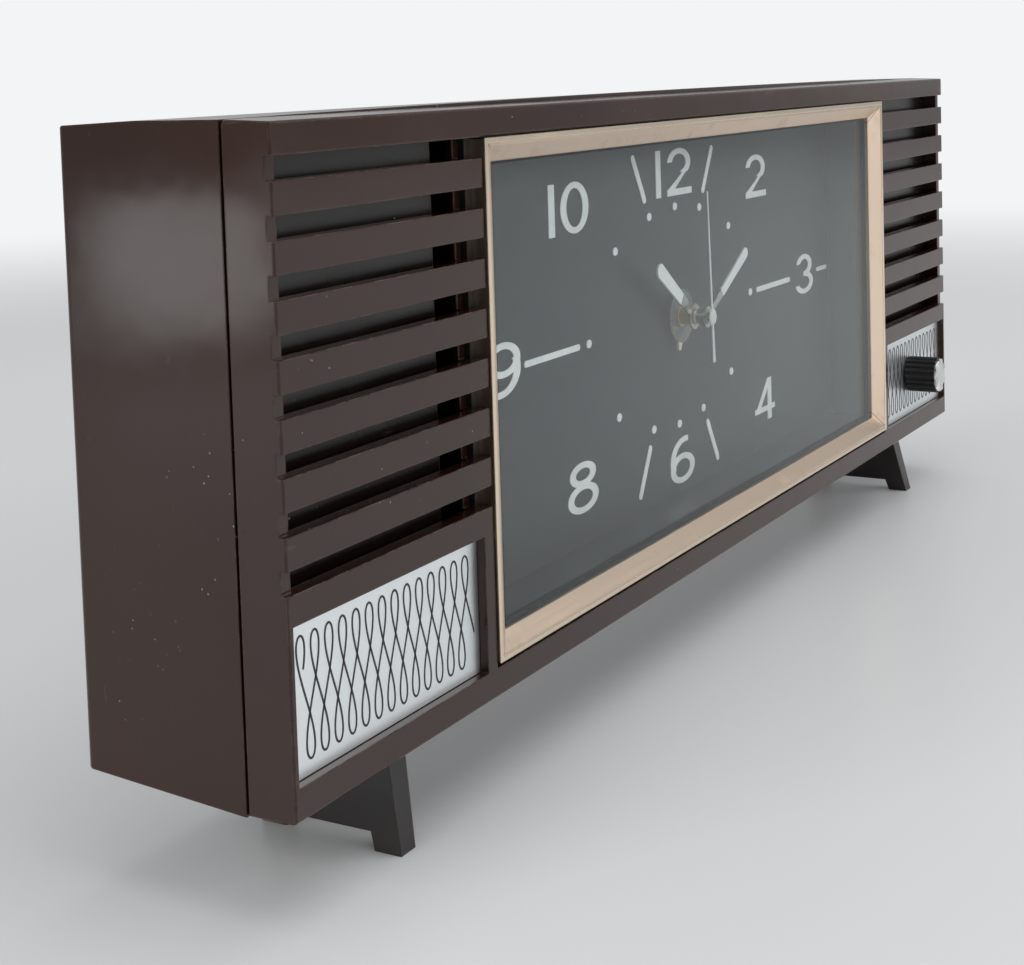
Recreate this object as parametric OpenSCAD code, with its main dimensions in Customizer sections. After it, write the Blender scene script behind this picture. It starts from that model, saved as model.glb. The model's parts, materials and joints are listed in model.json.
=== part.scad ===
// Wind-up alarm clock in a long, low case on two legs.
// Frame: X along the width, front towards -Y, Z up.
// Origin: centre of the bounding box in X and Y, on the surface that the feet stand on.

/* [Case] */
// Width of the front face
case_w = 296; // [270:1:330]
// Height of the front face
case_h = 91; // [84:1:110]
// Depth of the front shell
front_d = 7.4; // [6.5:0.1:10]
// Depth of the rear shell
rear_d = 29.4; // [29:0.1:42]
// Wall of both shells
wall = 2; // [1.6:0.1:2.6]
// Thickness of the front shell's face and slats
face_t = 2.4; // [2:0.1:3]
// Black groove between the two shells
seam_gap = 0.5; // [0.3:0.1:0.8]
// How much the case narrows on each side towards the back
rear_draft = 1.1; // [0.4:0.1:1.6]
// Crown of the rear shell's top
top_crown = 0.6; // [0.2:0.1:1]
// Corner radius of the case seen from the front
corner_r = 0.8; // [0.4:0.1:1.5]

/* [Grilles] */
// Width of each side field, from the case edge to the bezel opening
field_w = 52.1; // [40:0.1:60]
// Number of slots in each grille
slot_count = 8; // [5:1:8]
// Distance from one slot to the next
slot_pitch = 7.63; // [6:0.01:8]
// Height of a slot
slot_h = 3.2; // [2.4:0.1:4]
// Distance from the case top to the first slot
slot_top = 4.4; // [3:0.1:8]
// How far a slot notches the case side
slot_notch = 1; // [0.5:0.1:1.4]
// Height of a trim plate
plate_h = 21.3; // [14:0.1:22]
// Height of the trim plates above the case bottom
plate_z = 4.5; // [3:0.1:7]
// How deep the trim plates lie in the face
plate_recess = 1.5; // [1:0.1:1.8]
// Thickness of trim plates and grille panels
sheet_t = 0.5; // [0.4:0.1:1]

/* [Bezel and dial] */
// Margin from the case bottom to the bezel
bezel_bottom = 5.2; // [4:0.1:8]
// Margin from the case top to the bezel
bezel_top = 4.6; // [3.6:0.1:8]
// Gap between the bezel and the case opening
bezel_gap = 0.35; // [0.2:0.05:0.6]
// Width of the bezel's side members
bezel_side = 6.6; // [4:0.1:9]
// Width of the bezel's top and bottom members
bezel_rail = 5.2; // [3.5:0.1:7]
// How far the bezel's lip stands out of the face
bezel_proud = 0.4; // [0:0.1:1]
// Thickness of the glass
glass_t = 1.5; // [1.2:0.1:2]
// Depth of the dial behind the front face
dial_y = 12.1; // [11.5:0.1:14]
// Thickness of the dial
dial_t = 0.6; // [0.5:0.1:1]
// Height of the hand axis above the case bottom
axis_z = 46; // [43:0.5:50]
// Half width of the ring of hour dots
ring_a = 39.2; // [30:0.1:42]
// Half height of the ring of hour dots
ring_b = 22.2; // [18:0.1:24]
// Height of a numeral
digit_h = 9.4; // [7:0.1:11]
// Width of a numeral
digit_w = 12.6; // [8:0.1:13]
// Width of upright strokes
stroke_w = 2.3; // [1:0.1:2.6]
// Height of level strokes
stroke_h = 1.15; // [0.8:0.05:1.6]

/* [Hands] */
// Length of the minute hand
minute_len = 24.2; // [20:0.1:27]
// Length of the hour hand
hour_len = 20.6; // [15:0.1:22]
// Length of the seconds hand
second_len = 25.4; // [20:0.1:27]
// Clockwise angle of the hour hand from twelve
hour_angle = -55.3; // [-180:0.1:180]
// Clockwise angle of the minute hand from twelve
minute_angle = 62; // [-180:0.1:180]
// Clockwise angle of the seconds hand from twelve
second_angle = -2.9; // [-180:0.1:180]
// Clockwise angle of the alarm hand from twelve
alarm_angle = 193; // [-180:0.1:200]

/* [Legs] */
// Height of the legs
leg_h = 15.4; // [12:0.1:22]
// Thickness of a leg
leg_t = 4.6; // [4:0.1:7]
// Distance of the legs' outer faces from the middle
leg_x = 119.9; // [90:0.1:125]
// How far a foot leans outwards
leg_splay = 1.6; // [0:0.1:3]

/* [Controls] */
// Diameter of the alarm knob at the front
knob_d = 9; // [7:0.1:12]
// How far the alarm knob stands out of the face
knob_proud = 7.2; // [5:0.1:12]
// How far the knob at the front turns
knob_turn = 50; // [30:1:60]
// How far the keys stand out of the back
key_proud = 11; // [9:0.1:16]
// Width of a winding key
key_w = 19; // [14:0.1:22]
// Diameter of the setting knobs
set_d = 9; // [6:0.1:10]

/* [Movement] */
// Radial clearance of a turning shaft in its hole
run_gap = 0.05; // [0.02:0.01:0.09]
// Clearance between pieces that must not touch
free_gap = 0.3; // [0.2:0.05:0.5]
// Thickness of the movement plates
plate_t = 1.2; // [1:0.1:1.6]
// Module of the great wheels
module_great = 0.5; // [0.48:0.01:0.51]
// Module of the centre wheel and cannon pinion
module_centre = 0.4; // [0.38:0.01:0.42]
// Share of the tooth pitch left free in a mesh
backlash = 0.16; // [0.1:0.01:0.2]
// Radius of the bell
bell_r = 13; // [10:0.1:14]

/* [Hidden] */
$fn = 48;

black = [0.03, 0.03, 0.035];
brown = [0.16, 0.09, 0.07];
gold = [0.78, 0.69, 0.55];
brass = [0.72, 0.56, 0.3];
steel = [0.62, 0.63, 0.65];
silver = [0.82, 0.84, 0.85];
white = [0.93, 0.93, 0.92];

eps = 0.01;
case_d = front_d + rear_d;
key_tip = case_d + key_proud;
front_y = -(key_tip - knob_proud) / 2;       // the front face in the part's frame
half_w = case_w / 2;

// bezel opening and bezel
open_x = half_w - field_w;
open_z0 = bezel_bottom - 2 * bezel_gap;
open_z1 = case_h - bezel_top + bezel_gap;
bezel_x = open_x - bezel_gap;
bezel_z0 = bezel_bottom;
bezel_z1 = case_h - bezel_top;
glass_y = 1.5;                               // front of the glass
surround_y = face_t;                         // front of the surround's flange
view_x = bezel_x - bezel_side;
view_z0 = bezel_z0 + bezel_rail;
view_z1 = bezel_z1 - bezel_rail;
view_w = 2 * view_x;
lip = 1.6;                                   // hold of the glass behind the bezel
flange = 1.2;                                // overlap of the surround behind the face

// side fields
plate_x0 = half_w - 0.9;                     // outer edge of a trim window
plate_x1 = open_x + 2.6;                     // inner edge of a trim window
plate_cx = (plate_x0 + plate_x1) / 2;
plate_cz = plate_z + plate_h / 2;
panel_y = 4.6;
panel_x1 = open_x + 7.5;
slots_end = slot_top + (slot_count - 1) * slot_pitch + slot_h;
rib_x = open_x + flange + 0.1;

// case depth
shell_y = front_d + seam_gap;                // front edge of the rear shell
cover_t = 1.6;
cover_y = case_d - 0.6 - cover_t;            // front of the back cover
tongue_t = 1.2;
inner_x = half_w - wall - rear_draft;        // cavity of the rear shell
inner_z0 = wall + rear_draft;
inner_z1 = case_h - wall - rear_draft;
cover_fit = 0.2;
ledge = 1.6;

// movement layers, as depths behind the front face
plate1_y = dial_y + dial_t + 4.1;            // front movement plate
plate2_y = cover_y - 1.6 - plate_t;          // rear movement plate
train_y = plate1_y + plate_t;                // first layer between the plates
back_y = plate2_y + plate_t;                 // behind the rear plate
tail_y = case_d + 0.8;                       // first layer outside the back

// shafts
pivot_r = 0.5;
body_r = 0.8;
second_r = 0.4;
centre_r = 0.9;
cannon_r = 1.3;
hour_r = 1.75;
alarm_r = 2.2;
wind_r = 1.8;

// hands, as depths of their front faces
second_y = 4.2;
minute_y = 5.2;
hour_y = 8;
alarm_y = dial_y - 1.3;
hand_t = 0.4;

// teeth
n_great = 72;  n_centre_pinion = 12;
n_centre = 64; n_third_pinion = 8;
n_third = 60;  n_fourth_pinion = 8;
n_fourth = 60; n_escape_pinion = 8;
n_cannon = 12; n_minute = 36; n_minute_pinion = 10; n_hour = 40; n_set = 18;
n_alarm_great = 60; n_alarm_pinion = 8;
n_alarm_wheel = 60; n_alarm_set = 12;

// centre distances
great_a = module_great * (n_great + n_centre_pinion) / 2;
third_a = module_centre * (n_centre + n_third_pinion) / 2;
module_third = 2 * third_a / (n_third + n_fourth_pinion);
module_fourth = 1.05 * module_centre;
escape_a = module_fourth * (n_fourth + n_escape_pinion) / 2;
minute_a = module_centre * (n_cannon + n_minute) / 2;
module_hour = 2 * minute_a / (n_hour + n_minute_pinion);
set_a = module_centre * (n_minute + n_set) / 2;
alarm_set_a = module_great * (n_alarm_wheel + n_alarm_set) / 2;
alarm_a = module_great * (n_alarm_great + n_alarm_pinion) / 2;

function polar(r, a) = [r * cos(a), r * sin(a)];
function aim(p, q) = atan2(q[1] - p[1], q[0] - p[0]);

// places of the arbors, from the hand axis (x to the right, z up)
great_p = polar(great_a, 215);
third_p = polar(third_a, 40);
escape_p = polar(escape_a, 130);
pallet_p = escape_p + polar(6.6, 110);
balance_p = pallet_p + polar(9.5, 125);
minute_p = polar(minute_a, 270);
set_p = minute_p + polar(set_a, 290);
alarm_set_p = polar(alarm_set_a, 93);
alarm_great_p = [27, great_p[1]];
alarm_escape_p = alarm_great_p + polar(alarm_a, 70);
hammer_p = alarm_escape_p + polar(6.2, 60);
bell_p = hammer_p + [bell_r + 4.8, 15];
pillar_p = [[-33, -27], [39, -27], [-33, 29], [22, 28]];
foot_p = [[-30, -24], [36, -24], [-30, 26], [26, 24]];
pillar_r = 2;
click_arm = 7.6;
time_click_p = great_p + polar(click_arm, 60);
alarm_click_p = alarm_great_p + polar(click_arm, 60);
knob_c = [plate_cx - 2.5, plate_cz];
crank_r = 5;
rod_y = plate2_y - 4;
rod_t = 1;
pin_r = 0.8;

// ------------------------------------------------------------------ helpers
// puts what is drawn from the front face and the case bottom into the part's frame
module place() translate([0, front_y, leg_h]) children();

// puts children on a shaft at p; their own Z runs backwards from depth y
module shaft(p, y) place() translate([p[0], y, axis_z + p[1]]) rotate([-90, 0, 0]) children();

module disc(r, t) cylinder(r = r, h = t);

module ring(r1, r0, t) difference() {
  cylinder(r = r1, h = t);
  translate([0, 0, -1]) cylinder(r = r0, h = t + 2);
}

module box(x0, x1, y0, y1, z0, z1) translate([x0, y0, z0]) cube([x1 - x0, y1 - y0, z1 - z0]);

// one tooth outline, centred on the X axis
module tooth(m, n) {
  rp = m * n / 2;
  ra = rp + 0.85 * m;
  rd = rp - 1.2 * m;
  half = 90 / n * (1 - backlash);
  slope = min(22, 0.3 * 180 / PI * m / rp + 4 * m / rp);
  a_top = max(half - slope, half * 0.3);
  a_root = min(half + slope * 0.9, 170 / n);
  polygon([rd * 0.98 * [cos(a_root), -sin(a_root)], rp * [cos(half), -sin(half)],
           ra * [cos(a_top), -sin(a_top)], ra * [cos(a_top), sin(a_top)],
           rp * [cos(half), sin(half)], rd * 0.98 * [cos(a_root), sin(a_root)]]);
}

// toothed outline with one tooth at the angle turn, seen from the front
module gear_2d(m, n, turn) {
  circle(r = m * (n / 2 - 1.2), $fn = 96);
  for (i = [0 : n - 1]) rotate(-turn + i * 360 / n) tooth(m, n);
}

module gear(m, n, t, turn, bore) linear_extrude(t) difference() {
  gear_2d(m, n, turn);
  if (bore > 0) circle(r = bore);
}

// wheel with four spokes
module wheel(m, n, t, turn, bore) {
  r_rim = m * (n / 2 - 1.2) - 1.4;
  r_hub = bore + 1.6;
  linear_extrude(t) difference() {
    gear_2d(m, n, turn);
    circle(r = bore);
    for (k = [0 : 3]) rotate(45 + 90 * k) intersection() {
      difference() {
        circle(r = r_rim, $fn = 96);
        circle(r = r_hub);
      }
      translate([0.8, 0.8]) square(r_rim);
    }
  }
}

// plain arbor between the plates, with a pivot in each
module arbor() {
  translate([0, 0, 0.05]) cylinder(r = pivot_r, h = back_y - plate1_y - 0.1);
  translate([0, 0, plate_t + 0.1]) cylinder(r = body_r, h = plate2_y - train_y - 0.2);
}

// flat spiral from radius r0 to r1 with the given turns and strip thickness
function spiral(r0, r1, turns, off, steps = 20) =
  [for (i = [0 : turns * steps]) let (f = i / (turns * steps), a = 360 * turns * f)
    (r0 + (r1 - r0) * f + off) * [cos(a), sin(a)]];
module spiral_strip(r0, r1, turns, t) {
  inside = spiral(r0, r1, turns, 0);
  outside = spiral(r0, r1, turns, t);
  last = len(outside) - 1;
  polygon(concat(inside, [for (i = [0 : last]) outside[last - i]]));
}

module rounded(w, h, r) {
  translate([r, 0]) square([w - 2 * r, h]);
  translate([0, r]) square([w, h - 2 * r]);
  for (x = [r, w - r], z = [r, h - r]) translate([x, z]) circle(r = r);
}

// ------------------------------------------------------------------ case
module front_outline(grow) {
  translate([-half_w - grow, -grow]) rounded(case_w + 2 * grow, case_h + 2 * grow, corner_r);
}

module slot_z(i) {
  translate([0, 0, case_h - slot_top - slot_h - i * slot_pitch]) children();
}

module grille_slots(side) {
  for (i = [0 : slot_count - 1]) slot_z(i) scale([side, 1, 1]) {
    box(open_x - 1, half_w - wall, -1, face_t + 1, 0, slot_h);
    box(half_w - wall - eps, half_w + 1, -1, slot_notch, 0, slot_h);
  }
}

// side = -1 for the left field, 1 for the right one
module mirrored(side) scale([side, 1, 1]) children();

module front_shell() color(brown) place() {
  difference() {
    intersection() {
      translate([0, front_d, 0]) rotate([90, 0, 0]) linear_extrude(front_d) front_outline(0.3);
      // plan with the sides drawn in a little towards the face
      translate([0, 0, -1]) linear_extrude(case_h + 2)
        polygon([[-half_w + 0.25, 0], [half_w - 0.25, 0], [half_w, 0.25],
                 [half_w + 0.3, front_d], [-half_w - 0.3, front_d], [-half_w, 0.25]]);
      rotate([90, 0, 90]) translate([0, 0, -half_w - 1]) linear_extrude(case_w + 2)
        polygon([[0, 0.25], [0, case_h - 0.25], [0.25, case_h], [front_d, case_h + 0.3],
                 [front_d, -0.3], [0.25, 0]]);
    }
    difference() {
      box(-half_w + wall, half_w - wall, face_t, front_d + 1, wall, case_h - wall);
      for (s = [-1, 1]) mirrored(s) {
        // floor of the trim window
        box(plate_x1 - 1.2, half_w, 0, plate_recess + sheet_t + 1.4, 0, plate_z + plate_h + 1.2);
        // rib that ties the slats together
        box(rib_x, rib_x + 1.8, 0, face_t + 2, 0, case_h);
        // lugs that the case screws pull on
        for (z = boss_z) box(boss_x - 3.4, half_w, lug_y, front_d, z - 3.4, z + 3.4);
      }
    }
    box(-open_x, open_x, -1, face_t + 1, open_z0, open_z1);
    for (s = [-1, 1]) {
      grille_slots(s);
      mirrored(s) box(plate_x1, plate_x0, -1, plate_recess + sheet_t, plate_z, plate_z + plate_h);
    }
    translate([knob_c[0], -1, knob_c[1]]) rotate([-90, 0, 0]) cylinder(r = 2.5, h = 8);
    case_screw_holes(1.2);
  }
}

// the screws run from the rear shell's bosses into the front shell's corner posts
boss_x = half_w - 9;
boss_z = [11, case_h - 11];
lug_y = panel_y + sheet_t + 0.8;
module case_screw_holes(r) for (s = [-1, 1], z = boss_z)
  translate([s * boss_x, lug_y + 0.1, z]) rotate([-90, 0, 0]) cylinder(r = r, h = 40);

module rear_shape(in) {
  d0 = shell_y;
  d1 = case_d;
  top = case_h + 0.3;
  intersection() {
    // seen from the front: straight sides and a crowned top
    translate([0, d1, 0]) rotate([90, 0, 0]) linear_extrude(d1 - d0)
      polygon(concat([[-half_w - 0.3, top], [-half_w - 0.3, -0.3], [half_w + 0.3, -0.3], [half_w + 0.3, top]],
        [for (k = [5 : -1 : -5]) [half_w * k / 6, top + top_crown * (1 - pow(k / 6, 2))]]));
    // plan, with draft and rounded back edges
    translate([0, 0, -2]) linear_extrude(case_h + 4)
      polygon(concat([[-half_w - 0.3, d0]], [[half_w + 0.3, d0]],
        [for (a = [0 : 15 : 90]) [half_w + 0.3 - rear_draft - back_r + back_r * cos(a),
                                  d1 - back_r + back_r * sin(a)]],
        [for (a = [90 : 15 : 180]) [-half_w - 0.3 + rear_draft + back_r + back_r * cos(a),
                                    d1 - back_r + back_r * sin(a)]]));
    rotate([90, 0, 90]) translate([0, 0, -half_w - 2]) linear_extrude(case_w + 4)
      polygon(concat([[d0, -0.3]],
        [for (a = [-90 : 15 : 0]) [d1 - back_r + back_r * cos(a),
                                   rear_draft + back_r + back_r * sin(a)]],
        [for (a = [0 : 15 : 90]) [d1 - back_r + back_r * cos(a),
                                  top + top_crown - rear_draft - back_r + back_r * sin(a)]],
        [[d0, top + top_crown]]));
  }
}
back_r = 1.2;

module rear_shell() color(brown) place() {
  difference() {
    union() {
      difference() {
        rear_shape();
        box(-inner_x, inner_x, 0, case_d + 1, inner_z0, inner_z1);
      }
      // tongue that centres the front shell
      difference() {
        box(-half_w + wall + 0.15, half_w - wall - 0.15, front_d - 1.8, shell_y + eps,
            wall + 0.15, case_h - wall - 0.15);
        box(-inner_x, inner_x, 0, case_d, inner_z0, inner_z1);
        for (s = [-1, 1], z = boss_z) mirrored(s)
          box(boss_x - 5, half_w, 0, front_d, z - 3.8, z + 3.8);
      }
      // ledge for the back cover
      difference() {
        box(-inner_x - eps, inner_x + eps, cover_y - ledge, cover_y, inner_z0 - eps, inner_z1 + eps);
        box(-inner_x + ledge, inner_x - ledge, 0, case_d, inner_z0 + ledge, inner_z1 - ledge);
      }
      // bosses for the case screws and the back screws
      for (s = [-1, 1], z = boss_z) translate([s * boss_x, front_d, z]) rotate([-90, 0, 0])
        cylinder(r = 3.4, h = cover_y - front_d);
      for (s = [-1, 1]) mirrored(s) box(boss_x, inner_x + eps, shell_y, cover_y, boss_z[0] - 1, boss_z[0] + 1);
      for (s = [-1, 1]) mirrored(s) box(boss_x, inner_x + eps, shell_y, cover_y, boss_z[1] - 1, boss_z[1] + 1);
      // ribs that carry the stop rod
      for (x = rod_rib_x) box(x, x + 2, rod_y - 1.5, rod_y + rod_t + 1.5, inner_z0 - eps, rod_z - 0.2);
    }
    case_screw_holes(1.25);
    // sockets for the leg screws
    for (s = [-1, 1], y = leg_screw_y) translate([s * (leg_x - leg_t / 2), y, -1])
      cylinder(r = 1.25, h = 3 + wall + rear_draft);
  }
}
rod_rib_x = [70, 100];

module case_screws() color(steel) place()
  for (s = [-1, 1], z = boss_z) translate([s * boss_x, lug_y + 0.2, z]) rotate([-90, 0, 0])
    cylinder(r = 1.2, h = cover_y - 2.4 - lug_y);

module back_cover() color(brown * 0.8) place() difference() {
  box(-inner_x + cover_fit, inner_x - cover_fit, cover_y, cover_y + cover_t,
      inner_z0 + cover_fit, inner_z1 - cover_fit);
  for (p = [great_p, alarm_great_p]) cover_hole(p, wind_r + 0.8);
  for (p = [set_p, alarm_set_p]) cover_hole(p, pivot_r + 0.9);
  // slot for the regulator's index
  cover_hole(balance_p + polar(9, 100), 2.2);
  cover_hole(bell_p, 1.25);
  for (s = [-1, 1], z = boss_z) translate([s * boss_x, cover_y - 1, z]) rotate([-90, 0, 0])
    cylinder(r = 1.25, h = cover_t + 2);
  // sound slots behind the bell
  for (k = [-3 : 3]) box(bell_p[0] - 9, bell_p[0] + 9, cover_y - 1, cover_y + 3,
    axis_z - 20 + k * 4, axis_z - 18 + k * 4);
}
module cover_hole(p, r) translate([p[0], cover_y - 1, axis_z + p[1]]) rotate([-90, 0, 0])
  cylinder(r = r, h = cover_t + 2);

module back_screws() color(steel) place()
  for (s = [-1, 1], z = boss_z) translate([s * boss_x, cover_y, z]) rotate([-90, 0, 0])
    difference() {
      union() {
        translate([0, 0, -1.6]) cylinder(r = 1.2, h = cover_t + 1.7);
        translate([0, 0, cover_t]) cylinder(r = 2.4, h = 0.9);
      }
      translate([-3, -0.3, cover_t + 0.4]) cube([6, 0.6, 1]);
    }

// ------------------------------------------------------------------ bezel, glass, dial
module bezel() color(gold) place() difference() {
  box(-bezel_x, bezel_x, -bezel_proud, face_t, bezel_z0, bezel_z1);
  // chamber for the glass
  box(-view_x - lip, view_x + lip, glass_y, face_t + 1, view_z0 - lip, view_z1 + lip);
  // sloping inner flange
  hull() {
    box(-view_x - bezel_side + 1.3, view_x + bezel_side - 1.3, -bezel_proud - 1, -bezel_proud + eps,
        view_z0 - bezel_rail + 1.3, view_z1 + bezel_rail - 1.3);
    box(-view_x, view_x, glass_y - 0.35, glass_y + 1, view_z0, view_z1);
  }
}

module glass() color([0.75, 0.82, 0.85, 0.3]) place()
  box(-view_x - lip + 0.1, view_x + lip - 0.1, glass_y, glass_y + glass_t,
      view_z0 - lip + 0.1, view_z1 + lip - 0.1);

module dial_surround() color(black) place() difference() {
  union() {
    box(-open_x - flange, open_x + flange, surround_y, surround_y + 1.6,
        open_z0 - flange, open_z1 + flange);
    box(-view_x - 3, view_x + 3, surround_y, dial_y + dial_t, view_z0 - 3, view_z1 + 3);
  }
  box(-view_x - 0.8, view_x + 0.8, 0, dial_y + 5, view_z0 - 0.8, view_z1 + 0.8);
  // seats for the glass and the dial
  box(-view_x - lip, view_x + lip, 0, glass_y + glass_t, view_z0 - lip, view_z1 + lip);
  box(-view_x - 1.8, view_x + 1.8, dial_y, dial_y + 5, view_z0 - 1.8, view_z1 + 1.8);
}

module dial() color([0.06, 0.065, 0.07]) place() difference() {
  box(-view_x - 1.7, view_x + 1.7, dial_y, dial_y + dial_t, view_z0 - 1.7, view_z1 + 1.7);
  translate([0, dial_y - 1, axis_z]) rotate([-90, 0, 0]) cylinder(r = alarm_r + 0.5, h = 5);
}

// strokes of the numerals; X and Z are the centre of the digit, in shares of its size
ink = 0.15;
module on_dial(x, z) translate([x, dial_y, axis_z + z]) rotate([90, 0, 0]) linear_extrude(ink)
  children();
function hour_dir(h) = [sin(30 * h), cos(30 * h)];
function ring_at(h) = let (d = hour_dir(h))
  d / sqrt(pow(d[0] / ring_a, 2) + pow(d[1] / ring_b, 2));

module ring_2d(w, h) difference() {
  scale([w / h, 1]) circle(d = h, $fn = 36);
  scale([(w - 2 * stroke_w) / (h - 2 * stroke_h), 1]) circle(d = h - 2 * stroke_h, $fn = 36);
}
module bar_2d(p, q, w) hull() for (c = [p, q]) translate(c) circle(d = w, $fn = 24);
w_d = digit_w;
h_d = digit_h;
module digit_0() ring_2d(w_d * 0.87, h_d);
module digit_1() translate([-stroke_w / 2, -h_d / 2]) square([stroke_w, h_d]);
module digit_2() {
  intersection() {
    translate([0, h_d * 0.2]) ring_2d(w_d * 0.9, h_d * 0.62);
    union() {
      translate([-w_d, h_d * 0.22]) square([2 * w_d, h_d]);
      translate([w_d * 0.06, -h_d * 0.02]) square([w_d, h_d]);
    }
  }
  polygon([[-w_d * 0.46, -h_d / 2 + stroke_h], [-w_d * 0.2, -h_d / 2 + stroke_h],
           [w_d * 0.38, h_d * 0.08], [w_d * 0.2, h_d * 0.02]]);
  translate([-w_d * 0.46, -h_d / 2]) square([w_d * 0.94, stroke_h * 1.15]);
}
module digit_3() for (k = [-1, 1]) difference() {
  translate([0, k * (h_d * 0.25 - stroke_h * 0.25)])
    ring_2d(w_d * (k > 0 ? 0.8 : 0.92), h_d * 0.5 + stroke_h * 0.5);
  translate([-w_d, -h_d * 0.27]) square([w_d * 0.96, h_d * 0.54]);
}
module digit_4() {
  translate([w_d * 0.12, -h_d / 2]) square([stroke_w, h_d]);
  translate([-w_d * 0.48, -h_d * 0.28]) square([w_d * 0.94, stroke_h]);
  polygon([[-w_d * 0.48, -h_d * 0.28], [-w_d * 0.3, -h_d * 0.28], [w_d * 0.2, h_d * 0.36],
           [w_d * 0.2, h_d * 0.5], [w_d * 0.12, h_d * 0.5]]);
}
module digit_6() {
  translate([0, -h_d * 0.18]) ring_2d(w_d * 0.94, h_d * 0.64);
  difference() {
    translate([w_d * 0.12, 0]) ring_2d(w_d * 1.18, h_d);
    translate([w_d * 0.22, -h_d]) square([w_d, 2 * h_d]);
    translate([-w_d, -h_d]) square([2 * w_d, h_d * 0.82]);
  }
}
module digit_8() {
  translate([0, h_d * 0.5 - h_d * 0.24]) ring_2d(w_d * 0.82, h_d * 0.48);
  translate([0, -h_d * 0.5 + h_d * 0.29]) ring_2d(w_d * 0.96, h_d * 0.58);
}
module digit_9() rotate(180) digit_6();

row_x = 43.5;
row_z = 25.5;
side_x = 73.2;
module dial_numerals() color(white) place() {
  for (h = [0 : 11]) let (p = ring_at(h)) on_dial(p[0], p[1])
    scale([1.25, 1]) circle(d = 1.6, $fn = 16);
  // strokes that stand for eleven, one, five and seven
  for (h = [11, 1, 5, 7]) let (d = hour_dir(h)) on_dial(0, 0)
    bar_2d([d[0] * 28.4, d[1] * 28.4], [d[0] * 38, d[1] * 38], 1.5);
  // level strokes at three and nine
  for (s = [-1, 1]) {
    on_dial(s * 53.2, 0) bar_2d([-9.8, 0], [9.8, 0], stroke_h);
    on_dial(s * (side_x + 12), 0.3) bar_2d([-3.2, 0], [3, 0], 1);
  }
  on_dial(-row_x - 8.8, row_z) digit_1();
  on_dial(-row_x, row_z) digit_0();
  on_dial(-7.6, row_z + 3.6) digit_1();
  on_dial(2.4, row_z + 3.6) digit_2();
  on_dial(row_x, row_z) digit_2();
  on_dial(side_x, 0.2) digit_3();
  on_dial(row_x + 3.2, -row_z) digit_4();
  on_dial(1, -row_z - 4.3) digit_6();
  on_dial(-row_x + 0.5, -row_z - 0.4) digit_8();
  on_dial(-side_x + 2.4, 0.2) digit_9();
}

// ------------------------------------------------------------------ grille panels, trim plates
module grille_panel(side) color(black) place() mirrored(side)
  box(panel_x1, half_w - wall - 0.1, panel_y, panel_y + sheet_t + 0.5,
      plate_z + plate_h + 2.2, case_h - wall - 0.3);
module grille_panel_left() grille_panel(-1);
module grille_panel_right() grille_panel(1);

module trim_plate(side, hole) color(silver) place() difference() {
  mirrored(side) box(plate_x1 + 0.1, plate_x0 - 0.1, plate_recess, plate_recess + sheet_t,
      plate_z + 0.1, plate_z + plate_h - 0.1);
  if (hole) translate([knob_c[0], 0, knob_c[1]]) rotate([-90, 0, 0]) cylinder(r = 2.5, h = 8);
}
module trim_plate_left() trim_plate(-1, false);
module trim_plate_right() trim_plate(1, true);

// ------------------------------------------------------------------ legs
leg_screw_y = [13, 23];
leg_front = 4.9;                             // where a leg meets the case
leg_toe = 1.8;                               // front of the foot
leg_back = case_d - 8.8;
sole = 4.6;
arch = 2.7;                                  // clear height between the feet
module leg(side) color(black) place() mirrored(side) difference() {
  intersection() {
    // side profile: a deep web with a foot at each end
    rotate([90, 0, 90]) translate([0, 0, leg_x - leg_t - 6]) linear_extrude(leg_t + 12)
      polygon([[leg_front, -0.3], [leg_toe, -leg_h], [leg_toe + sole, -leg_h],
               [leg_toe + sole + 0.8, arch - leg_h], [leg_back - sole - 0.8, arch - leg_h],
               [leg_back - sole, -leg_h], [leg_back, -leg_h], [leg_back - 2, -0.3]]);
    // seen from the front: it leans outwards
    rotate([90, 0, 0]) translate([0, 0, -case_d - 5]) linear_extrude(case_d + 20)
      polygon([[leg_x - leg_t, -0.3], [leg_x, -0.3], [leg_x + leg_splay, -leg_h],
               [leg_x + leg_splay - leg_t + 0.9, -leg_h]]);
  }
  // the back foot stands straight
  box(leg_x, leg_x + leg_splay + 1, leg_back - sole - 0.8, case_d, -leg_h - 1, 1);
  for (y = leg_screw_y) translate([leg_x - leg_t / 2, y, -7]) cylinder(r = 1.25, h = 8);
}
module leg_left() leg(-1);
module leg_right() leg(1);

module leg_screws() color(steel) place()
  for (s = [-1, 1], y = leg_screw_y) translate([s * (leg_x - leg_t / 2), y, -6.5]) {
    cylinder(r = 1.2, h = 6.5 + inner_z0);
    translate([0, 0, 6.5 + inner_z0]) cylinder(r = 2.2, h = 1);
  }

// ------------------------------------------------------------------ movement frame
plate_box = [[-36, 42], [-30, 32]];
module movement_plate(y) difference() {
  place() translate([plate_box[0][0], y + plate_t, axis_z + plate_box[1][0]]) rotate([90, 0, 0])
    linear_extrude(plate_t)
      rounded(plate_box[0][1] - plate_box[0][0], plate_box[1][1] - plate_box[1][0], 5);
  for (p = [third_p, escape_p, pallet_p, balance_p, set_p, alarm_set_p, alarm_escape_p, hammer_p])
    shaft(p, y - 1) cylinder(r = pivot_r + run_gap, h = plate_t + 2);
  for (p = [great_p, alarm_great_p]) shaft(p, y - 1) cylinder(r = wind_r + run_gap, h = plate_t + 2);
  for (p = pillar_p) shaft(p, y - 1) cylinder(r = 1, h = plate_t + 2);
}

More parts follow.
